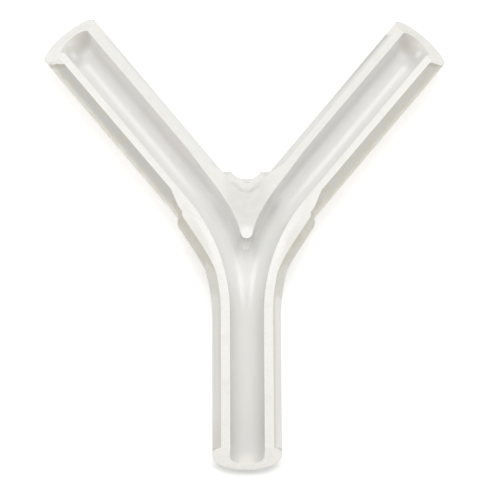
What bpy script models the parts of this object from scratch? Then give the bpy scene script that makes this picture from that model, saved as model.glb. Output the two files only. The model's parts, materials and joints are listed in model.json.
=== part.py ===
# Tubing Y connector, cut open lengthwise: three silicone legs joined by one moulded hub.
# It lies on its back, cut side up. The stem runs towards -Y and the two arms towards +Y.
# The right-hand half is modelled, and mirrored at X = 0.

from math import acos, asin, atan2, cos, hypot, pi, radians, sin, sqrt, tan

import bmesh
import bpy
from mathutils import Vector

MM = 0.001

# Tubing, the same on all three legs
TUBE_DIAMETER = 19.05 * MM
NECK_DIAMETER = 18.1 * MM  # where an arm runs into the hub
ARM_TIP_DIAMETER = 18.7 * MM
BORE_WIDTH = 9.4 * MM
BORE_DEPTH = 5.4 * MM  # from the axis to the bottom of the bore
TIP_RISE = 3.8 * MM  # the bore's floor climbs this much towards an arm's end
TIP_RISE_LENGTH = 7.0 * MM
BORE_SQUARENESS = 0.714  # 1 for a plain round floor, less for a squarer one

# Layout, measured from the point where the three axes cross
ARM_ANGLE = radians(38.1)  # between an arm and the stem's line
BEND_RADIUS = 60.0 * MM
STEM_LENGTH = 60.4 * MM
ARM_LENGTH = 81.8 * MM

# The lengthwise cut, and the wall's rolled outer edge beside it
CUT_HEIGHT = 4.5 * MM  # above the axes
LIP_WIDTH = 2.5 * MM
EDGE_DROP = 1.4 * MM

# The end cuts: the slant leaves the back of the wall longer than its front
STEM_SLANT = radians(7.7)
ARM_SLANT = radians(33.9)
ARM_SKEW = radians(9.8)

# Hub, placed by distance along a leg's centreline from the middle of its bend
HUB_DIAMETER = 21.1 * MM
HUB_ROOT_DIAMETER = 17.8 * MM  # where it comes out of the stem's skin
HUB_START = -10.0 * MM
HUB_FULL = 12.5 * MM
HUB_EDGE = 9.0 * MM  # half its width at the cut plane, on the outer side
COLLAR = 18.4 * MM
COLLAR_ROUNDING = 2.8 * MM

# Sleeve that runs out of the hub beside the cut, along each arm
SLEEVE_EDGE = 8.2 * MM
SLEEVE_END = 27.0 * MM
SLEEVE_LIFT = 1.5 * MM
SLEEVE_SINK = 0.8 * MM  # how far its end lies inside the arm's lip

# Crotch: a round saddle at the cut plane, tangent to both arms
CROTCH_EDGE = 7.8 * MM
CROTCH_DROP = 2.6 * MM
CROTCH_RADIUS = 4.7 * MM

# Web in the crotch between the arms
WEB_THICKNESS = 4.8 * MM
WEB_TOP = 22.75 * MM
NOTCH_RADIUS = 4.9 * MM
NOTCH_DEPTH = 2.3 * MM
WEB_ROUNDING = 0.5 * MM

# Divider between the two bores, with a round nose towards the stem
NOSE_RADIUS = 1.65 * MM
NOSE_TIP = 1.5 * MM
PINCH_LENGTH = 7.0 * MM  # of the hollow beside the nose
DIVIDER_EXTRA = 1.05 * MM  # how far it narrows each bore past the nose
DIVIDER_END = 31.5 * MM
DIVIDER_OVERLAP = 1.0 * MM  # how far it runs on inside the wall
DIVIDER_SINK = 2.0 * MM  # how deep it sits in the wall and under the floor

# Fineness of the round forms
RING_SIDES = 44
BEND_STEPS = 20
HUB_STEPS = 14
COLLAR_STEPS = 5
SLEEVE_STEPS = 10
TIP_STEPS = 6
DIVIDER_STEPS = 16
NOSE_SIDES = 7
ARC_SIDES = 13  # odd, so that no corner falls on the mirror plane
ROUNDING_STEPS = 2
SHARP_ANGLE = radians(30)

# How far a shape reaches past the cut that ends it: three unlike heights, so that no tops meet
OVERRUN = 12.0 * MM
DIVIDER_OVERRUN = 6.0 * MM
SADDLE_OVERRUN = 4.0 * MM
SADDLE_DEPTH = 1.6 * MM  # below the axes, inside the web

CUTTER_SIZE = 240.0 * MM
WELD_DISTANCE = 0.002 * MM
MERGE_DISTANCE = 0.0005 * MM

PARTS = "tubing_y_connector"
CUTTERS = "cutters"


# Scene helpers


def clear_scene():
    for obj in list(bpy.data.objects):
        bpy.data.objects.remove(obj, do_unlink=True)
    for name in (PARTS, CUTTERS):
        bpy.context.scene.collection.children.link(bpy.data.collections.new(name))


def add_object(name, data, collection):
    obj = bpy.data.objects.new(name, data)
    bpy.data.collections[collection].objects.link(obj)
    return obj


def make_helper(obj):
    obj.hide_render = True
    obj.display_type = "WIRE"


def mesh_from_curve(curve_object, name):
    """The curve's solid as a mesh object of its own, with its caps welded on."""
    graph = bpy.context.evaluated_depsgraph_get()
    mesh = bpy.data.meshes.new_from_object(curve_object.evaluated_get(graph))
    work = bmesh.new()
    work.from_mesh(mesh)
    bmesh.ops.remove_doubles(work, verts=work.verts, dist=WELD_DISTANCE)
    bmesh.ops.recalc_face_normals(work, faces=work.faces)
    work.to_mesh(mesh)
    work.free()
    obj = add_object(name, mesh, CUTTERS)
    obj.matrix_world = curve_object.matrix_world
    bpy.data.objects.remove(curve_object)
    return obj


# Even steps and gradual changes


def share_of(s, first, last):
    """0 before the first distance, 1 after the last, and evenly between them."""
    return min(max((s - first) / (last - first), 0.0), 1.0)


def smooth_share(s, first, last):
    share = share_of(s, first, last)
    return share * share * (3 - 2 * share)


def spaced(first, last, count):
    return [first + (last - first) * i / count for i in range(count + 1)]


# The centreline of a right-hand leg: stem, bend, arm


def half_bend():
    return BEND_RADIUS * ARM_ANGLE / 2


def bend_reach():
    """From the crossing of the axes to where the bend begins."""
    return BEND_RADIUS * tan(ARM_ANGLE / 2)


def stem_end():
    return -half_bend() - (STEM_LENGTH - bend_reach())


def arm_end():
    return half_bend() + (ARM_LENGTH - bend_reach())


def centreline(s, offset=0.0, up=0.0):
    """Point at distance s from the middle of the bend, moved sideways, outwards positive."""
    if s < -half_bend():
        return Vector((offset, -bend_reach() + s + half_bend(), up))
    turn = min(s / BEND_RADIUS + ARM_ANGLE / 2, ARM_ANGLE)
    beyond = max(s - half_bend(), 0.0)
    radius = BEND_RADIUS - offset
    x = BEND_RADIUS - radius * cos(turn) + beyond * sin(ARM_ANGLE)
    y = -bend_reach() + radius * sin(turn) + beyond * cos(ARM_ANGLE)
    return Vector((x, y, up))


def stations(first, last):
    """Distances along the centreline, close together only in the bend."""
    in_bend = spaced(-half_bend(), half_bend(), BEND_STEPS)
    return [first] + [s for s in in_bend if first < s < last] + [last]


# Outlines of the swept sections, as (sideways, up) from the axis


def rolled_outline(radius, outer, inner):
    """A round wall whose edges roll over to a (half width, drop) at the cut plane."""
    top = CUT_HEIGHT + EDGE_DROP
    starts = [asin((CUT_HEIGHT - drop) / radius) for _, drop in (outer, inner)]
    crests = []
    for (edge, drop), start in zip((outer, inner), starts):
        slope = (radius * cos(start) - edge) / drop
        crests.append(edge - slope * (top - CUT_HEIGHT))
    ring = spaced(starts[0], -pi - starts[1], RING_SIDES)
    wall = [(radius * cos(a), radius * sin(a)) for a in ring]
    return wall + [(-crests[1], top), (crests[0], top)]


def lip():
    """Half the width of a leg's cut face."""
    return BORE_WIDTH / 2 + LIP_WIDTH


def tube_outline():
    return rolled_outline(TUBE_DIAMETER / 2, (lip(), EDGE_DROP), (lip(), EDGE_DROP))


def hub_outline():
    return rolled_outline(HUB_DIAMETER / 2, (HUB_EDGE, EDGE_DROP), (CROTCH_EDGE, CROTCH_DROP))


def sleeve_outline():
    """A plain circle of radius 1, scaled along the sleeve."""
    ring = [2 * pi * i / RING_SIDES for i in range(RING_SIDES)]
    return [(cos(a), sin(a)) for a in ring]


def bore_outline(rise):
    """Upright walls over a round floor, which is squarish except where it has risen."""
    half = BORE_WIDTH / 2
    squareness = BORE_SQUARENESS + (1.0 - BORE_SQUARENESS) * rise
    outline = [(half, CUT_HEIGHT + OVERRUN)]
    for angle in spaced(0.0, pi, RING_SIDES // 2):
        side = 1 if cos(angle) >= 0 else -1
        out = half * side * abs(cos(angle)) ** squareness
        outline.append((out, TIP_RISE * rise - BORE_DEPTH * sin(angle) ** squareness))
    outline.append((-half, CUT_HEIGHT + OVERRUN))
    return outline


# Solids


def sweep(name, outline, path):
    """A closed outline carried along (distance, scale, lift) stations of the centreline."""
    section = bpy.data.curves.new(name + "_section", "CURVE")
    ring = section.splines.new("POLY")
    ring.points.add(len(outline) - 1)
    ring.use_cyclic_u = True
    for point, (out, up) in zip(ring.points, outline):
        point.co = (out, up, 0.0, 1.0)
    section_object = add_object(name + "_section", section, CUTTERS)
    make_helper(section_object)

    curve = bpy.data.curves.new(name + "_path", "CURVE")
    curve.dimensions = "3D"
    curve.twist_mode = "Z_UP"
    curve.bevel_mode = "OBJECT"
    curve.bevel_object = section_object
    curve.use_fill_caps = True
    line = curve.splines.new("POLY")
    line.points.add(len(path) - 1)
    for point, (s, scale, lift) in zip(line.points, path):
        point.co = (*centreline(s, up=lift), 1.0)
        point.radius = scale
    solid = mesh_from_curve(add_object(name + "_path", curve, CUTTERS), name)
    bpy.data.objects.remove(section_object)
    return solid


def loft(name, rings):
    """A solid through rings of as many points each, which may differ in shape."""
    work = bmesh.new()
    loops = [[work.verts.new(point) for point in ring] for ring in rings]
    for one, other in zip(loops, loops[1:]):
        for i in range(len(one)):
            work.faces.new((one[i - 1], one[i], other[i], other[i - 1]))
    work.faces.new(loops[0])
    work.faces.new(loops[-1])
    bmesh.ops.recalc_face_normals(work, faces=work.faces)
    mesh = bpy.data.meshes.new(name)
    work.to_mesh(mesh)
    work.free()
    return add_object(name, mesh, CUTTERS)


def plate(name, outline, low, high, rounding=0.0):
    """A flat outline in plan, between two heights, its edges rounded if asked."""
    curve = bpy.data.curves.new(name + "_outline", "CURVE")
    curve.dimensions = "2D"
    curve.fill_mode = "BOTH"
    curve.extrude = (high - low) / 2 - rounding
    curve.bevel_depth = rounding
    curve.bevel_resolution = ROUNDING_STEPS
    curve.offset = -rounding
    line = curve.splines.new("POLY")
    line.points.add(len(outline) - 1)
    line.use_cyclic_u = True
    for point, (x, y) in zip(line.points, outline):
        point.co = (x, y, 0.0, 1.0)
    flat = add_object(name + "_outline", curve, CUTTERS)
    flat.location.z = (high + low) / 2
    bpy.context.view_layer.update()
    return mesh_from_curve(flat, name)


def tube_diameter(s):
    """Narrows a little into the hub, and widens again towards an arm's end."""
    if s < COLLAR:
        return TUBE_DIAMETER + (NECK_DIAMETER - TUBE_DIAMETER) * share_of(s, HUB_START, COLLAR)
    return NECK_DIAMETER + (ARM_TIP_DIAMETER - NECK_DIAMETER) * share_of(s, COLLAR, arm_end())


def make_tube():
    along = stations(stem_end() - OVERRUN, arm_end() + OVERRUN)
    path = [(s, tube_diameter(s) / TUBE_DIAMETER, 0.0) for s in along]
    return sweep("tube", tube_outline(), path)


def hub_radius(s):
    """Swells smoothly from the stem, then drops over a round shoulder at the collar."""
    swell = smooth_share(s, HUB_START, HUB_FULL)
    radius = (HUB_ROOT_DIAMETER + (HUB_DIAMETER - HUB_ROOT_DIAMETER) * swell) / 2
    past = max(s - (COLLAR - COLLAR_ROUNDING), 0.0)
    return radius - COLLAR_ROUNDING + sqrt(max(COLLAR_ROUNDING**2 - past**2, 0.0))


def make_hub():
    """The moulded jacket. It starts just under the stem's skin and ends in the collar."""
    rising = spaced(HUB_START, COLLAR - COLLAR_ROUNDING, HUB_STEPS)
    turns = spaced(0.0, pi / 2, COLLAR_STEPS)[1:]
    falling = [COLLAR - COLLAR_ROUNDING * (1 - sin(turn)) for turn in turns]
    full = HUB_DIAMETER / 2
    path = [(s, hub_radius(s) / full, 0.0) for s in rising + falling]
    return sweep("hub", hub_outline(), path)


def sleeve_radius(s):
    """Reaches the cut plane at the sleeve's edge, which narrows into the arm's own lip."""
    narrow = lip() - SLEEVE_SINK
    edge = SLEEVE_EDGE + (narrow - SLEEVE_EDGE) * smooth_share(s, COLLAR, SLEEVE_END)
    return hypot(edge, CUT_HEIGHT - SLEEVE_LIFT)


def make_sleeve():
    along = spaced(COLLAR - COLLAR_ROUNDING, SLEEVE_END, SLEEVE_STEPS)
    path = [(s, sleeve_radius(s), SLEEVE_LIFT) for s in along]
    return sweep("sleeve", sleeve_outline(), path)


def make_bore():
    """The bore's cutter, whose floor climbs near the end of the arm."""
    climb = spaced(arm_end() - TIP_RISE_LENGTH, arm_end(), TIP_STEPS)
    along = stations(stem_end() - 2 * OVERRUN, climb[0]) + climb[1:] + [arm_end() + 2 * OVERRUN]
    rings = []
    for s in along:
        outline = bore_outline(smooth_share(s, climb[0], climb[-1]))
        rings.append([centreline(s, out, up) for out, up in outline])
    return loft("bore", rings)


def make_saddle():
    """Fills the crotch up to the cut plane, with a round edge that touches both arms."""
    reach = BEND_RADIUS + CROTCH_EDGE + CROTCH_RADIUS
    centre = sqrt(reach**2 - BEND_RADIUS**2) - bend_reach()
    touch = acos(BEND_RADIUS / reach)
    arc = []
    for angle in spaced(-touch, touch - pi, ARC_SIDES):
        arc.append((CROTCH_RADIUS * cos(angle), centre + CROTCH_RADIUS * sin(angle)))
    inside = CROTCH_RADIUS + CROTCH_EDGE / 2
    right = (inside * cos(touch), centre - inside * sin(touch))
    outline = [(-right[0], right[1]), (0.0, right[1] / 2), right] + arc
    return plate("saddle", outline, -SADDLE_DEPTH, CUT_HEIGHT + SADDLE_OVERRUN)


def make_web():
    """Fills the crotch, with a ledge beside each arm and a round notch between them."""
    notch_centre = WEB_TOP - NOTCH_DEPTH + NOTCH_RADIUS
    reach = asin(sqrt(NOTCH_RADIUS**2 - (NOTCH_RADIUS - NOTCH_DEPTH) ** 2) / NOTCH_RADIUS)
    notch = []
    for angle in spaced(reach, -reach, ARC_SIDES):
        notch.append((NOTCH_RADIUS * sin(angle), notch_centre - NOTCH_RADIUS * cos(angle)))
    wide = WEB_TOP * tan(ARM_ANGLE)
    outline = [(-wide, WEB_TOP), (0.0, CROTCH_EDGE), (wide, WEB_TOP)] + notch
    return plate("web", outline, -WEB_THICKNESS / 2, WEB_THICKNESS / 2, WEB_ROUNDING)


def nose_end():
    """Where the nose runs into the divider's right face, as (distance, offset)."""
    across = BEND_RADIUS - NOSE_RADIUS
    along = NOSE_TIP + NOSE_RADIUS + bend_reach()
    turn = atan2(along, across)
    return BEND_RADIUS * (turn - ARM_ANGLE / 2), hypot(across, along) - BEND_RADIUS


def divider_side(s):
    """How far the divider's face lies from the centreline: pinched in beside the nose."""
    first, offset = nose_end()
    spread = (s - first) / (DIVIDER_END - first)
    pinch = BORE_WIDTH / 2 - DIVIDER_EXTRA - offset
    near = 1.0 - share_of(s, first, first + PINCH_LENGTH)
    return BORE_WIDTH / 2 - DIVIDER_EXTRA * (1.0 - spread**2) - pinch * near**2


def make_divider():
    """The right half of the wedge: a round nose, then a face that follows the bend."""
    middle = NOSE_TIP + NOSE_RADIUS
    nose = []
    for angle in spaced(-pi / 2, 0.0, NOSE_SIDES):
        nose.append((NOSE_RADIUS * cos(angle), middle + NOSE_RADIUS * sin(angle)))
    along = spaced(nose_end()[0], DIVIDER_END + DIVIDER_OVERLAP, DIVIDER_STEPS)
    face = [centreline(s, -divider_side(s)) for s in along[1:]]
    back = [centreline(s, -divider_side(s) - DIVIDER_SINK) for s in reversed(along)]
    side = [(p.x, p.y) for p in face + back if p.x > 0.0]
    past_middle = -NOSE_RADIUS
    outline = nose + side + [(past_middle, side[-1][1]), (past_middle, NOSE_TIP)]
    return plate("divider", outline, -BORE_DEPTH - DIVIDER_SINK, CUT_HEIGHT + DIVIDER_OVERRUN)


# Cutters


def cutter_beyond(name, point, outward):
    """A cube that takes away everything on the outward side of a plane."""
    outward = outward.normalized()
    bpy.ops.mesh.primitive_cube_add(size=CUTTER_SIZE)
    cutter = bpy.context.active_object
    cutter.name = name
    for collection in list(cutter.users_collection):
        collection.objects.unlink(cutter)
    bpy.data.collections[CUTTERS].objects.link(cutter)
    cutter.rotation_mode = "QUATERNION"
    cutter.rotation_quaternion = outward.to_track_quat("Z", "Y")
    cutter.location = point + outward * CUTTER_SIZE / 2
    return cutter


def make_cutters():
    up = Vector((0.0, 0.0, 1.0))
    top = cutter_beyond("top_cut", up * CUT_HEIGHT, up)
    stem_way = Vector((0.0, -1.0, tan(STEM_SLANT)))
    stem = cutter_beyond("stem_cut", centreline(stem_end()), stem_way)
    way = Vector((sin(ARM_ANGLE), cos(ARM_ANGLE), 0.0))
    side = Vector((cos(ARM_ANGLE), -sin(ARM_ANGLE), 0.0))
    arm_way = way + up * tan(ARM_SLANT) + side * tan(ARM_SKEW)
    arm = cutter_beyond("arm_cut", centreline(arm_end()), arm_way)
    return stem, arm, top


# The connector


def combine(body, other, operation):
    modifier = body.modifiers.new(other.name, "BOOLEAN")
    modifier.operation = operation
    modifier.solver = "EXACT"
    modifier.object = other
    make_helper(other)


def mirror_halves(body):
    mirror = body.modifiers.new("mirror", "MIRROR")
    mirror.use_axis = (True, False, False)
    mirror.use_bisect_axis = (True, False, False)
    mirror.use_clip = True
    mirror.bisect_threshold = MERGE_DISTANCE
    mirror.merge_threshold = MERGE_DISTANCE


def silicone():
    material = bpy.data.materials.new("silicone")
    material.use_nodes = True
    shader = material.node_tree.nodes["Principled BSDF"]
    shader.inputs["Base Color"].default_value = (0.84, 0.83, 0.79, 1.0)
    shader.inputs["Roughness"].default_value = 0.42
    shader.inputs["Metallic"].default_value = 0.0
    shader.inputs["IOR"].default_value = 1.41
    shader.inputs["Subsurface Weight"].default_value = 0.35
    shader.inputs["Subsurface Scale"].default_value = 3.0 * MM
    return material


def make_connector():
    body = make_tube()
    body.name = "y_connector"
    bpy.data.collections[CUTTERS].objects.unlink(body)
    bpy.data.collections[PARTS].objects.link(body)
    stem_cut, arm_cut, top_cut = make_cutters()
    combine(body, stem_cut, "DIFFERENCE")
    combine(body, arm_cut, "DIFFERENCE")
    for moulding in (make_saddle(), make_web(), make_hub(), make_sleeve()):
        combine(body, moulding, "UNION")
    combine(body, make_bore(), "DIFFERENCE")
    combine(body, make_divider(), "UNION")
    combine(body, top_cut, "DIFFERENCE")
    mirror_halves(body)
    body.data.materials.clear()
    body.data.materials.append(silicone())
    body.data.shade_smooth()
    body.data.set_sharp_from_angle(angle=SHARP_ANGLE)
    return body


def set_down(body):
    """Moves body and cutters together, to put the middle of the underside at the origin."""
    crossing = bpy.data.objects.new("axes_crossing", None)
    for obj in list(bpy.data.objects):
        if obj != crossing:
            obj.parent = crossing
    bpy.data.collections[PARTS].objects.link(crossing)
    graph = bpy.context.evaluated_depsgraph_get()
    corners = [Vector(corner) for corner in body.evaluated_get(graph).bound_box]
    low = Vector([min(corner[i] for corner in corners) for i in range(3)])
    high = Vector([max(corner[i] for corner in corners) for i in range(3)])
    middle = (low + high) / 2
    crossing.location = (-middle.x, -middle.y, -low.z)
    bpy.context.view_layer.update()


clear_scene()
set_down(make_connector())
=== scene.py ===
import json
from math import acos, asin, atan2, cos, hypot, pi, radians, sin, sqrt, tan

import bmesh
import bpy
import numpy as np
from mathutils import Matrix, Vector

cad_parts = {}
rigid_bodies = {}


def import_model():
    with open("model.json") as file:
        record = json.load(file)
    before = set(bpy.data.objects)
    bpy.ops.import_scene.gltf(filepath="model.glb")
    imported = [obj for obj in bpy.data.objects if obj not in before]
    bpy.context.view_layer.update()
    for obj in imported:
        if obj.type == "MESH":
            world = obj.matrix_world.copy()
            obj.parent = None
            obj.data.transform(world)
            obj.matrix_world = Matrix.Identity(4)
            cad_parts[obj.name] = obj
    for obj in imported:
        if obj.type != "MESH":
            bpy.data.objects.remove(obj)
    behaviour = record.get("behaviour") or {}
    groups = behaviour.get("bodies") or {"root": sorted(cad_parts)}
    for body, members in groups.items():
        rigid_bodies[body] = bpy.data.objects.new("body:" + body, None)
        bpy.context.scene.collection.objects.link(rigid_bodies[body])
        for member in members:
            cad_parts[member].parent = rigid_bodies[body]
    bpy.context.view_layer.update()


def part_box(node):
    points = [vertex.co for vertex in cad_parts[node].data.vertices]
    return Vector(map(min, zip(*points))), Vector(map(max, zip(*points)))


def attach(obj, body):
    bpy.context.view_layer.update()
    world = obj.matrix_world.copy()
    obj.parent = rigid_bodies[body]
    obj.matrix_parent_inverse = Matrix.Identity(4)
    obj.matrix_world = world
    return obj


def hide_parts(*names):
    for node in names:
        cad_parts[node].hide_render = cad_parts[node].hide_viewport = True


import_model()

MM = 0.001
NODE = "y_connector"

# The connector's sizes, the same as its solid's
TUBE_DIAMETER = 19.05 * MM
NECK_DIAMETER = 18.1 * MM
ARM_TIP_DIAMETER = 18.7 * MM
BORE_WIDTH = 9.4 * MM
BORE_DEPTH = 5.4 * MM
TIP_RISE = 3.8 * MM
TIP_RISE_LENGTH = 7.0 * MM
BORE_SQUARENESS = 0.714
ARM_ANGLE = radians(38.1)
BEND_RADIUS = 60.0 * MM
STEM_LENGTH = 60.4 * MM
ARM_LENGTH = 81.8 * MM
CUT_HEIGHT = 4.5 * MM
LIP_WIDTH = 2.5 * MM
EDGE_DROP = 1.4 * MM
STEM_SLANT = radians(7.7)
ARM_SLANT = radians(33.9)
ARM_SKEW = radians(9.8)
HUB_DIAMETER = 21.1 * MM
HUB_ROOT_DIAMETER = 17.8 * MM
HUB_START = -10.0 * MM
HUB_FULL = 12.5 * MM
HUB_EDGE = 9.0 * MM
COLLAR = 18.4 * MM
COLLAR_ROUNDING = 2.8 * MM
SLEEVE_EDGE = 8.2 * MM
SLEEVE_END = 27.0 * MM
SLEEVE_LIFT = 1.5 * MM
SLEEVE_SINK = 0.8 * MM
CROTCH_EDGE = 7.8 * MM
CROTCH_DROP = 2.6 * MM
CROTCH_RADIUS = 4.7 * MM
WEB_THICKNESS = 4.8 * MM
WEB_TOP = 22.75 * MM
NOTCH_RADIUS = 4.9 * MM
NOTCH_DEPTH = 2.3 * MM
WEB_ROUNDING = 0.5 * MM
NOSE_RADIUS = 1.65 * MM
NOSE_TIP = 1.5 * MM
PINCH_LENGTH = 7.0 * MM
DIVIDER_EXTRA = 1.05 * MM
DIVIDER_END = 31.5 * MM
DIVIDER_OVERLAP = 1.0 * MM
DIVIDER_SINK = 2.0 * MM
OVERRUN = 12.0 * MM
CUTTER_SIZE = 240.0 * MM
MERGE_DISTANCE = 0.0005 * MM

# Fineness, which is several times the solid's
RING_SIDES = 120
BEND_STEPS = 56
ALONG_STEPS = 40
COLLAR_STEPS = 15
RISE_STEPS = 20
NOSE_SIDES = 15
ARC_SIDES = 31
GRID = 2.5 * MM
WELD_DISTANCE = 0.002 * MM

SLICE_TOLERANCE = 1e-7
SLICE_SHIFT = 0.137  # keeps each slice off the middle line and off the form's own corners
SHARP_ANGLE = radians(30)

# Zones of the surface, in the order of their material slots
ZONES = ("skin", "hub", "bore", "cut", "end")

# Marks in plan that the materials follow, in mm
NOSE_CENTRE = (0.0, (NOSE_TIP + NOSE_RADIUS) / MM)
SADDLE_CENTRE = (0.0, 20.0)
CROTCH_ARC_CENTRE = (0.3, 21.7)
CROTCH_ARC_RADIUS = 5.3

# The silicone
SILICONE_IOR = 1.41
SCATTER_WEIGHT = 0.25
SCATTER_SCALE = 2.0 * MM
SCATTER_RADIUS = (1.0, 0.95, 0.85)


# Centreline of a right-hand leg: stem, bend, arm


def half_bend():
    return BEND_RADIUS * ARM_ANGLE / 2


def bend_reach():
    return BEND_RADIUS * tan(ARM_ANGLE / 2)


def stem_end():
    return -half_bend() - (STEM_LENGTH - bend_reach())


def arm_end():
    return half_bend() + (ARM_LENGTH - bend_reach())


def centreline(s, offset=0.0, up=0.0):
    """Point at distance s from the middle of the bend, moved sideways, outwards positive."""
    if s < -half_bend():
        return Vector((offset, -bend_reach() + s + half_bend(), up))
    turn = min(s / BEND_RADIUS + ARM_ANGLE / 2, ARM_ANGLE)
    beyond = max(s - half_bend(), 0.0)
    radius = BEND_RADIUS - offset
    x = BEND_RADIUS - radius * cos(turn) + beyond * sin(ARM_ANGLE)
    y = -bend_reach() + radius * sin(turn) + beyond * cos(ARM_ANGLE)
    return Vector((x, y, up))


def leg_place(x, y):
    """The reverse of centreline: distance along the leg and offset, for arrays of points."""
    x = np.abs(x)
    turn = np.arctan2(y + bend_reach(), BEND_RADIUS - x)
    around = BEND_RADIUS * (turn - ARM_ANGLE / 2)
    across = BEND_RADIUS - np.hypot(y + bend_reach(), BEND_RADIUS - x)
    start = centreline(half_bend())
    dx, dy = x - start.x, y - start.y
    along = half_bend() + dx * sin(ARM_ANGLE) + dy * cos(ARM_ANGLE)
    beside = dx * cos(ARM_ANGLE) - dy * sin(ARM_ANGLE)
    in_stem = y < -bend_reach()
    in_arm = (turn > ARM_ANGLE) & ~in_stem
    s = np.where(in_stem, y + bend_reach() - half_bend(), np.where(in_arm, along, around))
    offset = np.where(in_stem, x, np.where(in_arm, beside, across))
    return s, offset


# Forms


def share_of(s, first, last):
    return min(max((s - first) / (last - first), 0.0), 1.0)


def smooth_share(s, first, last):
    share = share_of(s, first, last)
    return share * share * (3 - 2 * share)


def spaced(first, last, count):
    return [first + (last - first) * i / count for i in range(count + 1)]


def stations(first, last):
    bend = spaced(-half_bend(), half_bend(), BEND_STEPS)
    return [first] + [s for s in bend if first < s < last] + [last]


def zone_mesh(name, mesh, zone):
    for each in ZONES:
        mesh.materials.append(bpy.data.materials[each])
    mesh.polygons.foreach_set("material_index", [ZONES.index(zone)] * len(mesh.polygons))
    obj = bpy.data.objects.new(name, mesh)
    bpy.context.scene.collection.objects.link(obj)
    return obj


def loft(name, rings, zone):
    work = bmesh.new()
    loops = [[work.verts.new(point) for point in ring] for ring in rings]
    for one, other in zip(loops, loops[1:]):
        for i in range(len(one)):
            work.faces.new((one[i - 1], one[i], other[i], other[i - 1]))
    work.faces.new(loops[0])
    work.faces.new(loops[-1])
    bmesh.ops.recalc_face_normals(work, faces=work.faces)
    mesh = bpy.data.meshes.new(name)
    work.to_mesh(mesh)
    work.free()
    return zone_mesh(name, mesh, zone)


def sweep(name, outline, path, zone):
    rings = []
    for s, scale, lift in path:
        rings.append([centreline(s, out * scale, up * scale + lift) for out, up in outline])
    return loft(name, rings, zone)


def plate(name, outline, low, high, zone, rounding=0.0):
    curve = bpy.data.curves.new(name, "CURVE")
    curve.dimensions = "2D"
    curve.fill_mode = "BOTH"
    curve.extrude = (high - low) / 2 - rounding
    curve.bevel_depth = rounding
    curve.bevel_resolution = 4
    curve.offset = -rounding
    line = curve.splines.new("POLY")
    line.points.add(len(outline) - 1)
    line.use_cyclic_u = True
    for point, (x, y) in zip(line.points, outline):
        point.co = (x, y, 0.0, 1.0)
    flat = bpy.data.objects.new(name, curve)
    bpy.context.scene.collection.objects.link(flat)
    bpy.context.view_layer.update()
    graph = bpy.context.evaluated_depsgraph_get()
    mesh = bpy.data.meshes.new_from_object(flat.evaluated_get(graph))
    bpy.data.objects.remove(flat)
    work = bmesh.new()
    work.from_mesh(mesh)
    bmesh.ops.remove_doubles(work, verts=work.verts, dist=WELD_DISTANCE)
    bmesh.ops.translate(work, verts=work.verts, vec=(0.0, 0.0, (high + low) / 2))
    bmesh.ops.recalc_face_normals(work, faces=work.faces)
    work.to_mesh(mesh)
    work.free()
    return zone_mesh(name, mesh, zone)


def rolled_outline(radius, outer, inner):
    top = CUT_HEIGHT + EDGE_DROP
    starts = [asin((CUT_HEIGHT - drop) / radius) for _, drop in (outer, inner)]
    crests = []
    for (edge, drop), start in zip((outer, inner), starts):
        slope = (radius * cos(start) - edge) / drop
        crests.append(edge - slope * (top - CUT_HEIGHT))
    step = (pi + starts[0] + starts[1]) / RING_SIDES
    ring = [starts[0] - step * i for i in range(RING_SIDES + 1)]
    wall = [(radius * cos(a), radius * sin(a)) for a in ring]
    return wall + [(-crests[1], top), (crests[0], top)]


def lip():
    return BORE_WIDTH / 2 + LIP_WIDTH


def tube_diameter(s):
    if s < COLLAR:
        return TUBE_DIAMETER + (NECK_DIAMETER - TUBE_DIAMETER) * share_of(s, HUB_START, COLLAR)
    return NECK_DIAMETER + (ARM_TIP_DIAMETER - NECK_DIAMETER) * share_of(s, COLLAR, arm_end())


def make_tube():
    outline = rolled_outline(TUBE_DIAMETER / 2, (lip(), EDGE_DROP), (lip(), EDGE_DROP))
    along = stations(stem_end() - OVERRUN, arm_end() + OVERRUN)
    rings = [(s, tube_diameter(s) / TUBE_DIAMETER, 0.0) for s in along]
    return sweep("tube", outline, rings, "skin")


def hub_radius(s):
    swell = smooth_share(s, HUB_START, HUB_FULL)
    radius = (HUB_ROOT_DIAMETER + (HUB_DIAMETER - HUB_ROOT_DIAMETER) * swell) / 2
    past = max(s - (COLLAR - COLLAR_ROUNDING), 0.0)
    return radius - COLLAR_ROUNDING + sqrt(max(COLLAR_ROUNDING**2 - past**2, 0.0))


def make_hub():
    full = HUB_DIAMETER / 2
    outline = rolled_outline(full, (HUB_EDGE, EDGE_DROP), (CROTCH_EDGE, CROTCH_DROP))
    rising = spaced(HUB_START, COLLAR - COLLAR_ROUNDING, ALONG_STEPS)
    turns = [i * pi / (2 * COLLAR_STEPS) for i in range(1, COLLAR_STEPS + 1)]
    falling = [COLLAR - COLLAR_ROUNDING * (1 - sin(turn)) for turn in turns]
    return sweep("hub", outline, [(s, hub_radius(s) / full, 0.0) for s in rising + falling], "hub")


def sleeve_radius(s):
    narrow = lip() - SLEEVE_SINK
    edge = SLEEVE_EDGE + (narrow - SLEEVE_EDGE) * smooth_share(s, COLLAR, SLEEVE_END)
    return hypot(edge, CUT_HEIGHT - SLEEVE_LIFT)


def make_sleeve():
    ring = [2 * pi * i / RING_SIDES for i in range(RING_SIDES)]
    outline = [(cos(a), sin(a)) for a in ring]
    along = spaced(COLLAR - COLLAR_ROUNDING, SLEEVE_END, ALONG_STEPS // 2)
    return sweep("sleeve", outline, [(s, sleeve_radius(s), SLEEVE_LIFT) for s in along], "hub")


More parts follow.
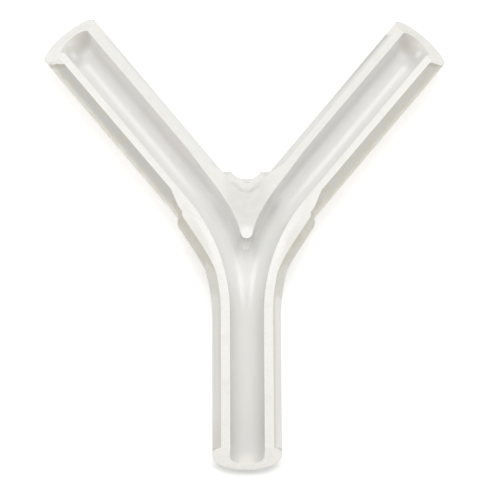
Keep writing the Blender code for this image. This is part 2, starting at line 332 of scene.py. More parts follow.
def bore_outline(rise):
    half = BORE_WIDTH / 2
    squareness = BORE_SQUARENESS + (1.0 - BORE_SQUARENESS) * rise
    outline = [(half, CUT_HEIGHT + OVERRUN)]
    for angle in spaced(0.0, pi, RING_SIDES // 2):
        side = 1 if cos(angle) >= 0 else -1
        out = half * side * abs(cos(angle)) ** squareness
        outline.append((out, TIP_RISE * rise - BORE_DEPTH * max(sin(angle), 0.0) ** squareness))
    return outline + [(-half, CUT_HEIGHT + OVERRUN)]


def make_bore():
    climb = spaced(arm_end() - TIP_RISE_LENGTH, arm_end(), RISE_STEPS)
    along = stations(stem_end() - 2 * OVERRUN, climb[0]) + climb[1:] + [arm_end() + 2 * OVERRUN]
    rings = []
    for s in along:
        outline = bore_outline(smooth_share(s, climb[0], climb[-1]))
        rings.append([centreline(s, out, up) for out, up in outline])
    return loft("bore_tool", rings, "bore")


def make_saddle():
    reach = BEND_RADIUS + CROTCH_EDGE + CROTCH_RADIUS
    centre = sqrt(reach**2 - BEND_RADIUS**2) - bend_reach()
    touch = acos(BEND_RADIUS / reach)
    arc = []
    for angle in spaced(-touch, touch - pi, ARC_SIDES):
        arc.append((CROTCH_RADIUS * cos(angle), centre + CROTCH_RADIUS * sin(angle)))
    inside = CROTCH_RADIUS + CROTCH_EDGE / 2
    right = (inside * cos(touch), centre - inside * sin(touch))
    outline = [(-right[0], right[1]), (0.0, right[1] / 2), right] + arc
    return plate("saddle", outline, -WEB_THICKNESS / 3, CUT_HEIGHT + OVERRUN / 3, "hub")


def make_web():
    notch_centre = WEB_TOP - NOTCH_DEPTH + NOTCH_RADIUS
    reach = asin(sqrt(NOTCH_RADIUS**2 - (NOTCH_RADIUS - NOTCH_DEPTH) ** 2) / NOTCH_RADIUS)
    notch = []
    for angle in spaced(reach, -reach, ARC_SIDES):
        notch.append((NOTCH_RADIUS * sin(angle), notch_centre - NOTCH_RADIUS * cos(angle)))
    wide = WEB_TOP * tan(ARM_ANGLE)
    outline = [(-wide, WEB_TOP), (0.0, CROTCH_EDGE), (wide, WEB_TOP)] + notch
    return plate("web", outline, -WEB_THICKNESS / 2, WEB_THICKNESS / 2, "hub", WEB_ROUNDING)


def nose_end():
    across = BEND_RADIUS - NOSE_RADIUS
    along = NOSE_TIP + NOSE_RADIUS + bend_reach()
    turn = atan2(along, across)
    return BEND_RADIUS * (turn - ARM_ANGLE / 2), hypot(across, along) - BEND_RADIUS


def divider_side(s):
    first, offset = nose_end()
    spread = (s - first) / (DIVIDER_END - first)
    pinch = BORE_WIDTH / 2 - DIVIDER_EXTRA - offset
    near = 1.0 - share_of(s, first, first + PINCH_LENGTH)
    return BORE_WIDTH / 2 - DIVIDER_EXTRA * (1.0 - spread**2) - pinch * near**2


def make_divider():
    middle = NOSE_TIP + NOSE_RADIUS
    nose = []
    for angle in spaced(-pi / 2, 0.0, NOSE_SIDES):
        nose.append((NOSE_RADIUS * cos(angle), middle + NOSE_RADIUS * sin(angle)))
    along = spaced(nose_end()[0], DIVIDER_END + DIVIDER_OVERLAP, ALONG_STEPS)
    face = [centreline(s, -divider_side(s)) for s in along[1:]]
    back = [centreline(s, -divider_side(s) - DIVIDER_SINK) for s in reversed(along)]
    side = [(p.x, p.y) for p in face + back if p.x > 0.0]
    past_middle = -NOSE_RADIUS
    outline = nose + side + [(past_middle, side[-1][1]), (past_middle, NOSE_TIP)]
    return plate("divider", outline, -BORE_DEPTH - DIVIDER_SINK, CUT_HEIGHT + OVERRUN / 2, "bore")


def cutter_beyond(name, point, outward, zone):
    outward = outward.normalized()
    bpy.ops.mesh.primitive_cube_add(size=CUTTER_SIZE)
    cube = bpy.context.active_object
    place = Matrix.Translation(point + outward * CUTTER_SIZE / 2)
    cube.data.transform(place @ outward.to_track_quat("Z", "Y").to_matrix().to_4x4())
    mesh = cube.data.copy()
    bpy.data.objects.remove(cube)
    return zone_mesh(name, mesh, zone)


def make_cutters():
    up = Vector((0.0, 0.0, 1.0))
    stem_way = Vector((0.0, -1.0, tan(STEM_SLANT)))
    way = Vector((sin(ARM_ANGLE), cos(ARM_ANGLE), 0.0))
    side = Vector((cos(ARM_ANGLE), -sin(ARM_ANGLE), 0.0))
    arm_way = way + up * tan(ARM_SLANT) + side * tan(ARM_SKEW)
    stem = cutter_beyond("stem_cut", centreline(stem_end()), stem_way, "end")
    arm = cutter_beyond("arm_cut", centreline(arm_end()), arm_way, "end")
    top = cutter_beyond("top_cut", up * CUT_HEIGHT, up, "cut")
    return stem, arm, top


def combine(body, other, operation):
    modifier = body.modifiers.new(other.name, "BOOLEAN")
    modifier.operation = operation
    modifier.solver = "EXACT"
    modifier.material_mode = "TRANSFER"
    modifier.object = other


def make_form():
    """The whole connector as one fine mesh, each face in its zone's material slot."""
    before = set(bpy.data.objects)
    body = make_tube()
    stem_cut, arm_cut, top_cut = make_cutters()
    for cutter in (stem_cut, arm_cut):
        combine(body, cutter, "DIFFERENCE")
    for moulding in (make_saddle(), make_web(), make_hub(), make_sleeve()):
        combine(body, moulding, "UNION")
    combine(body, make_bore(), "DIFFERENCE")
    combine(body, make_divider(), "UNION")
    combine(body, top_cut, "DIFFERENCE")
    mirror = body.modifiers.new("mirror", "MIRROR")
    mirror.use_axis = (True, False, False)
    mirror.use_bisect_axis = (True, False, False)
    mirror.use_clip = True
    mirror.bisect_threshold = MERGE_DISTANCE
    mirror.merge_threshold = MERGE_DISTANCE
    graph = bpy.context.evaluated_depsgraph_get()
    mesh = bpy.data.meshes.new_from_object(body.evaluated_get(graph))
    for obj in set(bpy.data.objects) - before:
        bpy.data.objects.remove(obj)
    return mesh


def slice_up(mesh):
    """Cuts long faces at even steps, so that values stored at the corners stay true between."""
    work = bmesh.new()
    work.from_mesh(mesh)
    for axis in (0, 1):
        values = [v.co[axis] for v in work.verts]
        low, high = min(values), max(values)
        normal = Vector((1.0 - axis, float(axis), 0.0))
        count = int((high - low) / GRID)
        for i in range(1, count):
            at = normal * (low + (high - low) * (i + SLICE_SHIFT) / count)
            geom = work.verts[:] + work.edges[:] + work.faces[:]
            bmesh.ops.bisect_plane(
                work, geom=geom, dist=SLICE_TOLERANCE, plane_co=at, plane_no=normal
            )
    bmesh.ops.remove_doubles(work, verts=work.verts, dist=WELD_DISTANCE)
    bmesh.ops.dissolve_degenerate(work, edges=work.edges, dist=WELD_DISTANCE)
    bmesh.ops.triangulate(work, faces=[f for f in work.faces if len(f.verts) > 4])
    work.to_mesh(mesh)
    work.free()


def store_places(mesh, name, values):
    """Keeps a place at each corner of the mesh, for its materials to read."""
    attribute = mesh.attributes.new(name, "FLOAT_VECTOR", "POINT")
    attribute.data.foreach_set("vector", np.asarray(values, np.float32).ravel())


def make_piece():
    mesh = make_form()
    slice_up(mesh)
    points = np.empty(len(mesh.vertices) * 3, np.float32)
    mesh.vertices.foreach_get("co", points)
    points = points.reshape(-1, 3).astype(float)
    s, offset = leg_place(points[:, 0], points[:, 1])
    store_places(mesh, "leg", np.column_stack((s, offset, points[:, 2])) / MM)
    store_places(mesh, "place", points / MM)
    _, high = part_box(NODE)
    across = (points[:, 1].min() + points[:, 1].max()) / 2
    crossing = Vector((0.0, -across, high.z - CUT_HEIGHT))
    mesh.transform(Matrix.Translation(crossing))
    mesh.name = "silicone_body"
    piece = bpy.data.objects.new("silicone_body", mesh)
    bpy.context.scene.collection.objects.link(piece)
    mesh.shade_smooth()
    mesh.set_sharp_from_angle(angle=SHARP_ANGLE)
    weighted = piece.modifiers.new("normals", "WEIGHTED_NORMAL")
    weighted.keep_sharp = True
    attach(piece, "root")
    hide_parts(NODE)
    return piece, crossing


# Materials


def tone(red, green, blue):
    """A colour written as it appears on screen, 0 to 255, as linear values."""
    shares = [v / 255 for v in (red, green, blue)]
    linear = [v / 12.92 if v <= 0.04045 else ((v + 0.055) / 1.055) ** 2.4 for v in shares]
    return (*linear, 1.0)


class Paint:
    """Short calls for a material's nodes. A value is a number, a colour or a socket."""

    def __init__(self, name):
        self.material = bpy.data.materials.new(name)
        self.material.use_nodes = True
        self.nodes = self.material.node_tree.nodes
        self.links = self.material.node_tree.links
        self.shader = self.nodes["Principled BSDF"]

    def set(self, socket, value):
        if isinstance(value, bpy.types.NodeSocket):
            self.links.new(value, socket)
        else:
            socket.default_value = value

    def node(self, kind, **settings):
        made = self.nodes.new(kind)
        for key, value in settings.items():
            setattr(made, key, value)
        return made

    def math(self, operation, *values):
        made = self.node("ShaderNodeMath", operation=operation)
        for socket, value in zip(made.inputs, values):
            self.set(socket, value)
        return made.outputs[0]

    def total(self, *values):
        whole = values[0]
        for value in values[1:]:
            whole = self.math("ADD", whole, value)
        return whole

    def less(self, value, taken):
        return self.math("SUBTRACT", value, taken)

    def size(self, value):
        return self.math("ABSOLUTE", value)

    def most(self, *values):
        highest = values[0]
        for value in values[1:]:
            highest = self.math("MAXIMUM", highest, value)
        return highest

    def node_parts(self, kind, output, **settings):
        made = self.node(kind, **settings)
        parts = self.node("ShaderNodeSeparateXYZ")
        self.set(parts.inputs[0], made.outputs[output])
        return parts.outputs

    def places(self, name):
        """The parts of a stored place, in mm: s, offset, up of "leg", or x, y, z of "place"."""
        return self.node_parts("ShaderNodeAttribute", "Vector", attribute_name=name)

    def join(self, x, y, z):
        made = self.node("ShaderNodeCombineXYZ")
        for socket, value in zip(made.inputs, (x, y, z)):
            self.set(socket, value)
        return made.outputs[0]

    def noise(self, vector, scale, detail=3.0, roughness=0.5):
        made = self.node("ShaderNodeTexNoise")
        self.set(made.inputs["Vector"], vector)
        self.set(made.inputs["Scale"], scale)
        self.set(made.inputs["Detail"], detail)
        self.set(made.inputs["Roughness"], roughness)
        return made.outputs["Fac"]

    def step(self, value, low, high):
        """0 where the value is below low, 1 above high, smoothly between. High may be the lower."""
        made = self.node("ShaderNodeMapRange", interpolation_type="SMOOTHSTEP")
        self.set(made.inputs["Value"], value)
        flip = low > high
        made.inputs["From Min"].default_value = high if flip else low
        made.inputs["From Max"].default_value = low if flip else high
        made.inputs["To Min"].default_value = 1.0 if flip else 0.0
        made.inputs["To Max"].default_value = 0.0 if flip else 1.0
        return made.outputs[0]

    def near(self, value, centre, width):
        """1 at the centre, falling to 0 at that width on either side."""
        return self.step(self.size(self.less(value, centre)), width, 0.0)

    def mix(self, share, first, second):
        made = self.node("ShaderNodeMix", data_type="RGBA")
        self.set(made.inputs[0], share)
        self.set(made.inputs[6], first)
        self.set(made.inputs[7], second)
        return made.outputs[2]

    def bump(self, height, strength, distance):
        made = self.node("ShaderNodeBump")
        self.set(made.inputs["Strength"], strength)
        self.set(made.inputs["Distance"], distance)
        self.set(made.inputs["Height"], height)
        return made.outputs[0]

    def finish(self, colour, roughness, normal):
        self.set(self.shader.inputs["Base Color"], colour)
        self.set(self.shader.inputs["Roughness"], roughness)
        self.set(self.shader.inputs["IOR"], SILICONE_IOR)
        self.set(self.shader.inputs["Subsurface Weight"], SCATTER_WEIGHT)
        self.set(self.shader.inputs["Subsurface Scale"], SCATTER_SCALE)
        self.set(self.shader.inputs["Subsurface Radius"], SCATTER_RADIUS)
        self.set(self.shader.inputs["Normal"], normal)


def shaded(paint, colour, *layers):
    """Mixes each (share, colour) over the first colour."""
    for share, over in layers:
        colour = paint.mix(share, colour, over)
    return colour


def times(paint, *shares):
    """The product of shares: how strong a layer is where several conditions meet."""
    product = shares[0]
    for share in shares[1:]:
        product = paint.math("MULTIPLY", product, share)
    return product


def distance_from(paint, x, y, centre):
    """How far a place lies in plan from a centre, in mm."""
    dx = paint.less(x, centre[0])
    dy = paint.less(y, centre[1])
    return paint.math("SQRT", paint.total(times(paint, dx, dx), times(paint, dy, dy)))


def on_left(paint, x):
    """1 on the part's left half and 0 on its right, with a soft middle."""
    return paint.step(x, 0.5, -0.5)


def crotch_shade_arc(paint, x, y):
    """The painted shade line round the crotch, strongest in its middle."""
    ring = paint.near(distance_from(paint, x, y, CROTCH_ARC_CENTRE), CROTCH_ARC_RADIUS, 1.2)
    return times(paint, ring, paint.near(x, CROTCH_ARC_CENTRE[0], 6.0))


def bore_highlight(paint, s, offset, left):
    """Shares of the painted highlight along the bore's floor, which is also made glossy there: in
    the arms, the stem and the hub.
    """
    bend = times(paint, paint.step(s, 2.0, -14.0), 1.05)
    beside = paint.total(paint.less(offset, paint.less(bend, 0.2)), times(paint, left, 0.4))
    arm_highlight = times(paint, paint.step(s, 14.0, 34.0), paint.step(s, 76.3, 75.2))
    return (
        times(paint, paint.near(beside, 0.0, 1.1), arm_highlight),
        times(paint, paint.near(beside, 0.0, 0.95), paint.near(s, -6.0, 11.5)),
        times(paint, paint.near(beside, 0.0, 1.2), paint.near(s, 10.0, 9.0)),
    )


def make_bore_paint():
    """The bore: a painted highlight along its floor, also glossy there, painted shade on the arms'
    walls and round the fork, painted light lifting hollows and creases, and mottled tips darkened
    by painted shade.
    """
    paint = Paint("bore")
    s, offset, up = paint.places("leg")
    x, y, z = paint.places("place")
    place = paint.join(x, y, z)
    away = paint.size(offset)
    from_middle = paint.size(x)
    flow = paint.join(times(paint, s, 0.05), offset, up)
    streaks = paint.noise(flow, 0.9, 4.0)
    cloud = paint.noise(place, 0.16, 2.0)
    right = paint.step(x, -0.5, 0.5)
    left = on_left(paint, x)

    # Broad zones
    low_stem = paint.step(s, -36.0, -58.0)
    in_arm = paint.step(s, 12.0, 21.0)
    in_hub = paint.step(s, -16.0, -2.0)
    stem_wall = times(paint, paint.step(away, 1.8, 4.2), paint.step(s, 0.0, -12.0))
    stem_foot = times(paint, paint.step(s, -56.4, -59.0), paint.step(away, 3.6, 1.0))
    # Painted light lifts the arms' floor on the fork's side, and painted shade darkens the upright
    # wall beyond it.
    hollow = times(paint, paint.step(offset, -0.7, -2.0), in_arm)
    upright = times(paint, paint.step(offset, -3.2, -4.4), in_arm)
    outer = times(paint, paint.step(offset, 0.3, 1.3), in_arm)
    # A painted highlight along the top of the bore's walls on the right.
    wall_rim = times(paint, paint.step(up, 3.0, 4.1), right, paint.near(s, 28.0, 20.0))
    # A painted pool of light along the middle of the stem's floor below the nose.
    painted_light_pool = times(paint, paint.near(y, -6.5, 7.5), paint.step(from_middle, 3.0, 0.6))
    shade = times(paint, paint.near(s, 15.0, 5.5), paint.step(offset, -1.0, -2.6))

    # Round the nose, where the bore forks: painted shade round the nose and down its face, and
    # painted light lifting the floor in front, the nose's foot and the crease along the wall
    from_nose = distance_from(paint, x, y, NOSE_CENTRE)
    nose = times(paint, paint.step(from_nose, 6.5, 2.4), paint.step(s, 9.0, 2.0))
    face = times(paint, paint.step(from_nose, 1.85, 1.72), paint.step(up, -0.5, 4.3))
    foot = times(paint, paint.near(from_nose, 1.68, 0.5), paint.step(up, -1.0, -3.2))
    beyond_wall = paint.total(offset, times(paint, s, 0.05), 3.2)
    crease = times(paint, paint.near(beyond_wall, 0.0, 1.2), paint.near(s, 15.0, 13.0))
    crease = times(paint, crease, paint.step(up, -1.0, -2.5))
    front = times(paint, paint.near(y, -0.4, 5.4), paint.step(y, 3.0, 1.2))
    front = times(paint, front, paint.step(up, -0.5, -5.0), paint.step(from_middle, 3.2, 0.6))

    # The arms' tips: painted shade inside the end and in the corner on the fork's side, brown
    # mottling, and a painted highlight spot with a darker gap before the painted line
    tip = times(paint, paint.step(s, 76.2, 78.6), paint.step(offset, 3.6, 0.6))
    tip_mottle = paint.noise(paint.join(times(paint, s, 0.35), offset, up), 0.9, 3.0)
    brown = times(paint, paint.step(tip_mottle, 0.42, 0.66), paint.step(offset, 0.5, -2.0), 0.12)
    corner = times(paint, paint.step(s, 77.0, 80.0), paint.step(offset, -1.2, -3.6))
    spot_s = paint.less(s, right)
    highlight_spot = times(paint, paint.near(spot_s, 78.0, 1.6), paint.near(offset, 1.2, 1.3))
    gap = times(paint, paint.near(spot_s, 76.2, 0.9), paint.near(offset, 0.4, 2.0))

    # A painted highlight along the floor; the roughness below is also lowered there, so it is
    # partly real gloss.
    line, stem_highlight, hub_highlight = bore_highlight(paint, s, offset, left)
    highlight_share = paint.less(0.95, times(paint, left, 0.25))
    colour = shaded(
        paint,
        tone(234, 234, 231),
        (low_stem, tone(224, 224, 221)),
        (times(paint, in_hub, right), tone(235, 235, 232)),
        (times(paint, in_hub, left), tone(239, 239, 236)),
        (in_arm, tone(242, 242, 240)),
        (stem_wall, tone(235, 233, 229)),
        (times(paint, stem_wall, low_stem), tone(225, 223, 218)),
        (stem_foot, tone(236, 233, 228)),
        (hollow, tone(255, 255, 253)),
        (upright, paint.mix(left, tone(231, 231, 229), tone(238, 237, 235))),
        (wall_rim, tone(255, 255, 252)),
        (outer, tone(239, 238, 235)),
        (times(paint, shade, right), tone(229, 227, 224)),
        (times(paint, shade, left, 0.4), tone(229, 227, 224)),
        (times(paint, cloud, hollow, 0.25), tone(238, 230, 226)),
        (times(paint, paint.step(streaks, 0.42, 0.72), 0.2), tone(226, 223, 218)),
        (times(paint, painted_light_pool, 0.8), tone(247, 246, 242)),
        (times(paint, nose, 0.9), tone(232, 231, 228)),
        (times(paint, front, 0.95), tone(255, 254, 251)),
        (times(paint, foot, 0.35), tone(255, 255, 253)),
        (times(paint, crease, 0.4), tone(255, 255, 253)),
        (face, tone(203, 202, 198)),
        (times(paint, hub_highlight, 0.3), tone(248, 247, 244)),
        (times(paint, stem_highlight, 0.9), tone(252, 251, 248)),
        (times(paint, line, highlight_share), tone(255, 254, 251)),
        (times(paint, tip, 0.9), tone(226, 223, 218)),
        (times(paint, tip, paint.step(offset, 0.6, -3.0), 0.6), tone(211, 208, 202)),
        (times(paint, tip, brown), tone(204, 196, 184)),
        (times(paint, corner, 0.5), tone(212, 208, 200)),
        (times(paint, gap, 0.5), tone(230, 228, 225)),
        (highlight_spot, tone(255, 255, 253)),
    )
    roughness = paint.less(0.42, times(paint, paint.most(line, stem_highlight, highlight_spot), 0.2))
    paint.finish(colour, roughness, paint.bump(streaks, 0.08, 0.1 * MM))


def painted_shade_flank(paint, s, up, left):
    """Colour of an arm's outer flank, darkened by painted shade: darkest beside the cut, browner
    and paler lower down.
    """
    lower = paint.step(up, 3.6, 0.8)
    right_tone = paint.mix(lower, tone(203, 202, 196), tone(222, 217, 204))
    left_tone = paint.mix(lower, tone(197, 197, 193), tone(231, 227, 217))
    flank = paint.mix(left, right_tone, left_tone)
    mottle = paint.noise(paint.join(times(paint, s, 0.4), up, left), 0.8, 4.0)
    brown = times(paint, paint.step(mottle, 0.42, 0.68), 0.5)
    return shaded(paint, flank, (brown, tone(206, 196, 174)))


def make_skin_paint():
    """The tubing's outside: pale towards the crotch, with painted shade darkening the arms' outer
    flanks.
    """
    paint = Paint("skin")
    s, offset, up = paint.places("leg")
    x, y, z = paint.places("place")
    flow = paint.join(times(paint, s, 0.10), offset, up)
    streaks = paint.noise(flow, 0.8, 4.0)
    left = on_left(paint, x)

    stem = paint.mix(left, tone(231, 230, 225), tone(222, 221, 215))
    stem = shaded(
        paint,
        stem,
        (paint.step(up, -3.5, -6.0), tone(219, 218, 212)),
        (times(paint, paint.near(up, 4.5, 0.8), 0.7), tone(205, 203, 195)),
        (times(paint, left, paint.step(s, -48.0, -57.0), 0.5), tone(210, 203, 193)),
        (times(paint, paint.step(streaks, 0.45, 0.75), 0.25), tone(210, 208, 200)),
        (times(paint, paint.step(s, -15.2, -12.6), 0.8), tone(213, 210, 201)),
    )
    # Painted shade darkens the arms' outer flanks; the flanks on the crotch's side stay pale.
    dark = painted_shade_flank(paint, s, up, left)
    ticks = paint.noise(paint.join(s, 0.0, left), 0.9, 2.0)
    ticks = times(paint, paint.step(ticks, 0.54, 0.62), paint.near(up, -1.5, 2.6), left)
    dark = shaded(paint, dark, (times(paint, ticks, 0.7), tone(190, 176, 150)))
    pale = paint.mix(left, tone(231, 230, 226), tone(238, 238, 235))
    grey_share = paint.less(0.85, times(paint, left, 0.65))
    grey_line = times(paint, paint.near(up, 3.3, 0.9), paint.step(s, 40.0, 68.0), grey_share)
    pale = shaded(paint, pale, (grey_line, tone(200, 199, 194)))
    arm = paint.mix(paint.step(offset, 0.5, -0.5), dark, pale)
    colour = paint.mix(paint.step(s, 2.0, 16.0), stem, arm)

    # A ragged pale zone at each leg's end, with a darker line before it
    ragged = times(paint, paint.noise(paint.join(x, y, z), 0.9, 2.0), 1.2)
    arm_limit = paint.total(paint.less(57.2, left), ragged)
    arm_limit = paint.total(arm_limit, times(paint, paint.step(offset, -2.0, -4.0), 9.0))
    beyond = paint.less(paint.total(y, times(paint, up, 0.406)), arm_limit)
    edge = paint.near(beyond, -0.5, 1.1)
    end_zone = paint.step(beyond, -0.15, 0.15)
    below = paint.less(-59.0, paint.total(y, times(paint, up, 0.33), times(paint, ragged, 0.5)))
    stem_edge = paint.near(below, -0.4, 0.8)
    stem_zone = paint.step(below, -0.15, 0.15)
    colour = shaded(
        paint,
        colour,
        (times(paint, edge, paint.step(offset, 0.5, 1.5), 0.7), tone(184, 178, 164)),
        (times(paint, stem_edge, 0.8), tone(186, 182, 174)),
        (end_zone, tone(240, 238, 232)),
        (stem_zone, tone(240, 238, 233)),
    )
    paint.finish(colour, 0.38, paint.bump(streaks, 0.1, 0.1 * MM))


def make_hub_paint():
    """The moulded hub: olive grey on its flanks, pale in the crotch, with painted shade in an arc
    and over the web's top there, and painted light on the saddle's wall.
    """
    paint = Paint("hub")
    s, offset, up = paint.places("leg")
    x, y, z = paint.places("place")
    place = paint.join(x, y, z)
    patches = paint.noise(place, 0.35, 3.0)
    fine = paint.noise(place, 1.6, 3.0)
    left = on_left(paint, x)

    flank = paint.mix(left, tone(213, 211, 201), tone(210, 206, 196))
    flank = shaded(
        paint,
        flank,
        (times(paint, paint.step(patches, 0.42, 0.68), 0.6), tone(200, 194, 176)),
        (times(paint, paint.step(s, 0.0, -10.0), 0.6), tone(217, 215, 207)),
        (times(paint, paint.near(up, 3.9, 0.9), 0.3), tone(194, 190, 176)),
    )
    # Painted shade in an arc round the crotch, and painted light on the saddle's wall.
    arc = times(paint, crotch_shade_arc(paint, x, y), paint.step(y, 20.2, 18.6))
    from_saddle = distance_from(paint, x, y, SADDLE_CENTRE)
    wall = times(paint, paint.near(from_saddle, CROTCH_RADIUS / MM, 0.5), paint.step(up, 2.3, 2.7))
    # Two thin dark lines across the top of the crotch.
    upper_crotch_line = times(paint, paint.near(y, 20.2, 0.3), paint.near(x, 0.2, 1.9))
    lower_crotch_line = times(paint, paint.near(y, 19.4, 0.3), paint.near(x, 0.2, 1.7), 0.8)
    # Painted shade over the web's top, fading in between y 20.8 and 22.2 mm.
    crotch = shaded(
        paint,
        tone(236, 235, 230),
        (times(paint, paint.step(y, 20.8, 22.2), 0.6), tone(222, 221, 215)),
        (wall, tone(252, 251, 247)),
        (times(paint, arc, 0.55), tone(208, 207, 202)),
        (upper_crotch_line, tone(190, 190, 188)),
        (lower_crotch_line, tone(204, 203, 200)),
    )
    colour = paint.mix(paint.step(offset, 0.5, -0.5), flank, crotch)
    speckle = times(paint, paint.step(fine, 0.45, 0.7), 0.18)
    colour = shaded(paint, colour, (speckle, tone(204, 201, 192)))
    paint.finish(colour, 0.42, paint.bump(fine, 0.08, 0.1 * MM))


def grained(paint, colour, place, share):
    """A sawn face's fine grain and faint clouds: its colour and its bump."""
    grain = paint.noise(place, 2.6, 4.0, 0.6)
    cloud = paint.noise(place, 0.3, 2.0)
    colour = shaded(
        paint,
        colour,
        (times(paint, paint.step(grain, 0.4, 0.75), share), tone(222, 220, 213)),
        (times(paint, paint.step(cloud, 0.5, 0.7), 0.18), tone(228, 222, 217)),
    )
    return colour, paint.bump(grain, 0.2, 0.08 * MM)


def make_cut_paint():
    """The cut plane: a fine matt grain, thin painted highlights along its rims, painted shade round
    the crotch, and a greyer wedge.
    """
    paint = Paint("cut")
    s, offset, _ = paint.places("leg")
    x, y, z = paint.places("place")
    place = paint.join(x, y, z)
    crotch_side = paint.step(offset, 0.0, -1.0)
    wedge = times(paint, paint.step(y, 2.6, 7.5), paint.step(paint.size(x), 8.0, 4.0))
    wedge = times(paint, wedge, paint.step(y, 24.0, 17.0))
    no_wedge = paint.most(paint.step(offset, 0.0, 1.0), paint.step(s, -8.0, -12.0))
    # A painted highlight along the bore's rims.
    bore_rim_highlight = times(paint, paint.near(paint.size(offset), 4.8, 0.4), paint.step(s, 24.0, 12.0))
    bore_rim_highlight = times(paint, bore_rim_highlight, no_wedge, 0.5)
    inner = times(paint, paint.step(offset, 7.4, 5.2), paint.step(offset, 3.0, 4.0))
    inner = times(paint, inner, paint.near(s, 3.0, 20.0), 0.85)
    band = times(paint, paint.step(offset, 6.2, 7.4), paint.near(s, 6.0, 16.0), 0.5)
    strip_line = times(paint, paint.near(offset, 2.9, 0.6), paint.step(s, 40.0, 60.0), 0.5)
    nose = paint.step(distance_from(paint, x, y, NOSE_CENTRE), 2.6, 1.2)
    patches = paint.noise(place, 0.45, 3.0)
    # A painted highlight along the arms' lip.
    arm_rim = times(paint, paint.near(offset, 6.55, 0.45), paint.step(s, 24.0, 30.0), 0.5)
    slope = paint.less(offset, paint.total(times(paint, s, 0.3), 1.75))
    seam = times(paint, paint.near(slope, 0.0, 0.35), paint.near(s, 15.5, 5.5), 0.3)
    # Painted shade in an arc round the crotch.
    arc = times(paint, crotch_shade_arc(paint, x, y), crotch_side, 0.55)
    colour = shaded(
        paint,
        tone(243, 242, 237),
        (paint.step(s, -20.0, -58.0), tone(237, 236, 231)),
        (times(paint, crotch_side, paint.step(s, 4.0, 10.0)), tone(238, 237, 232)),
        (wedge, tone(226, 225, 220)),
        (times(paint, wedge, paint.step(patches, 0.42, 0.66), 0.45), tone(236, 235, 230)),
        (inner, tone(252, 251, 247)),
        (band, tone(226, 224, 217)),
        (times(paint, nose, 0.8), tone(248, 247, 243)),
        (strip_line, tone(230, 229, 224)),
        (bore_rim_highlight, tone(250, 249, 243)),
        (arm_rim, tone(251, 250, 246)),
        (seam, tone(222, 220, 214)),
        (arc, tone(214, 213, 207)),
    )
    colour, normal = grained(paint, colour, place, 0.35)
    paint.finish(colour, 0.6, normal)


def make_end_paint():
    """The sawn ends: mottled, with a thin dark line round the outside."""
    paint = Paint("end")
    s, offset, up = paint.places("leg")
    x, y, z = paint.places("place")
    place = paint.join(x, y, z)
    radius = distance_from(paint, offset, up, (0.0, 0.0))
    in_arm = paint.step(s, -10.0, 10.0)
    in_stem = paint.step(s, 10.0, -10.0)
    inward = paint.step(offset, 2.0, -4.0)
    right_arm = paint.mix(inward, tone(243, 242, 236), tone(237, 237, 230))
    left_arm = paint.mix(inward, tone(250, 249, 244), tone(246, 245, 240))
    arm = paint.mix(on_left(paint, x), right_arm, left_arm)
    colour = paint.mix(in_arm, tone(243, 241, 235), arm)
    mottle = paint.noise(place, 0.7, 3.0)
    arm_rim = times(paint, paint.step(radius, 8.95, 9.25), in_arm, 0.8)
    stem_rim = times(paint, paint.step(radius, 9.2, 9.5), in_stem, paint.step(up, -8.0, -4.0), 0.6)
    colour = shaded(
        paint,
        colour,
        (times(paint, paint.step(mottle, 0.5, 0.75), 0.3), tone(226, 224, 213)),
        (paint.most(arm_rim, stem_rim), tone(190, 186, 174)),
    )
    colour, normal = grained(paint, colour, place, 0.45)
    paint.finish(colour, 0.6, normal)


def make_materials():
    make_skin_paint()
    make_hub_paint()
    make_bore_paint()
    make_cut_paint()
    make_end_paint()


# Stage, lights and camera


# The glow makes the floor white to camera, glossy and transmission rays. Diffuse rays don't see
# it, so it adds to the object's reflections and not to its diffuse light. It is held back in a
# crescent at the stem's foot, where the shadow is darkest, as a painted shadow over the object's
# own. The lengths are in metres.
GLOW = 0.36
GLOW_LEAST = 0.02
STEM_FOOT_CENTRE = (0.0, -0.0497)  # of the curve that the stem's end draws on the floor
STEM_FOOT_RADIUS = 0.0176
CRESCENT_WIDTH = 0.0026
CRESCENT_SIDES = (0.0070, 0.0120)  # where the glow starts to return, and where it is whole
CRESCENT_BACK = (-0.0660, -0.0625)
FLOOR_SIZE = 6.0
WORLD_LIGHT = 0.72  # on the object; the camera sees white


def make_floor():
    bpy.ops.mesh.primitive_plane_add(size=FLOOR_SIZE)
    floor = bpy.context.active_object
    floor.name = "floor"
    paint = Paint("floor_white")
    seen = paint.node("ShaderNodeLightPath")
    rays = ("Is Camera Ray", "Is Glossy Ray", "Is Transmission Ray")
    shown = paint.most(*(seen.outputs[ray] for ray in rays))
    paint.set(paint.shader.inputs["Base Color"], (0.9, 0.9, 0.9, 1.0))
    paint.set(paint.shader.inputs["Roughness"], 1.0)
    paint.set(paint.shader.inputs["Specular IOR Level"], 0.0)
    paint.set(paint.shader.inputs["Emission Color"], (1.0, 1.0, 1.0, 1.0))
    x, y, _ = paint.node_parts("ShaderNodeNewGeometry", "Position")
    from_foot = distance_from(paint, x, y, STEM_FOOT_CENTRE)
    away = paint.step(paint.less(from_foot, STEM_FOOT_RADIUS), 0.0, CRESCENT_WIDTH)
    aside = paint.step(paint.size(x), *CRESCENT_SIDES)
    behind = paint.step(y, *CRESCENT_BACK)
    glow = paint.total(GLOW_LEAST, times(paint, paint.most(away, aside, behind), GLOW))
    paint.set(paint.shader.inputs["Emission Strength"], times(paint, shown, glow))
    floor.data.materials.append(paint.material)


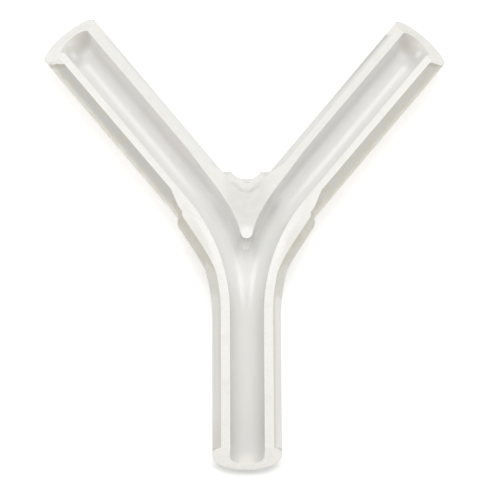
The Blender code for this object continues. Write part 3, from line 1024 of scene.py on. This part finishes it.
def make_world():
    world = bpy.data.worlds.new("studio")
    world.use_nodes = True
    bpy.context.scene.world = world
    nodes, links = world.node_tree.nodes, world.node_tree.links
    background = nodes["Background"]
    path = nodes.new("ShaderNodeLightPath")
    level = nodes.new("ShaderNodeMapRange")
    level.inputs["To Min"].default_value = WORLD_LIGHT
    level.inputs["To Max"].default_value = 1.0
    links.new(path.outputs["Is Camera Ray"], level.inputs["Value"])
    background.inputs["Color"].default_value = (1.0, 1.0, 1.0, 1.0)
    links.new(level.outputs[0], background.inputs["Strength"])


def add_lamp(name, place, size, power):
    """A rectangular lamp that faces the middle of the floor."""
    data = bpy.data.lights.new(name, "AREA")
    data.shape = "RECTANGLE"
    data.size, data.size_y = size
    data.energy = power
    lamp = bpy.data.objects.new(name, data)
    bpy.context.scene.collection.objects.link(lamp)
    lamp.location = place
    lamp.rotation_euler = (-Vector(place)).to_track_quat("-Z", "Y").to_euler()


FOCAL_SHARE = 2857.0 / 500.0  # focal length over the frame's width
CAMERA_TILT = radians(22.12)
CAMERA_TURN = radians(-3.9)
CAMERA_ROLL = radians(3.91)
CAMERA_DISTANCE = 0.8001
CAMERA_AIM = (1.05 * MM, -0.24 * MM, 0.0)


def make_camera(crossing):
    data = bpy.data.cameras.new("camera")
    data.sensor_width = 36.0
    data.lens = FOCAL_SHARE * data.sensor_width
    data.clip_start = 0.05
    data.clip_end = 20.0
    camera = bpy.data.objects.new("camera", data)
    bpy.context.scene.collection.objects.link(camera)
    target = crossing + Vector(CAMERA_AIM)
    back = Vector(
        (
            sin(CAMERA_TURN) * sin(CAMERA_TILT),
            -cos(CAMERA_TURN) * sin(CAMERA_TILT),
            cos(CAMERA_TILT),
        )
    )
    turn = back.to_track_quat("Z", "Y").to_matrix()
    camera.matrix_world = (
        Matrix.Translation(target + back * CAMERA_DISTANCE)
        @ turn.to_4x4()
        @ Matrix.Rotation(CAMERA_ROLL, 4, "Z")
    )
    bpy.context.scene.camera = camera


make_materials()
piece, crossing = make_piece()
make_floor()
make_world()
add_lamp("key", (0.0, 0.5, 1.24), (0.7, 0.5), 4.6)
add_lamp("fill", (0.0, -1.1, 0.65), (1.2, 0.6), 2.6)
make_camera(crossing)
bpy.context.scene.view_settings.view_transform = "Standard"
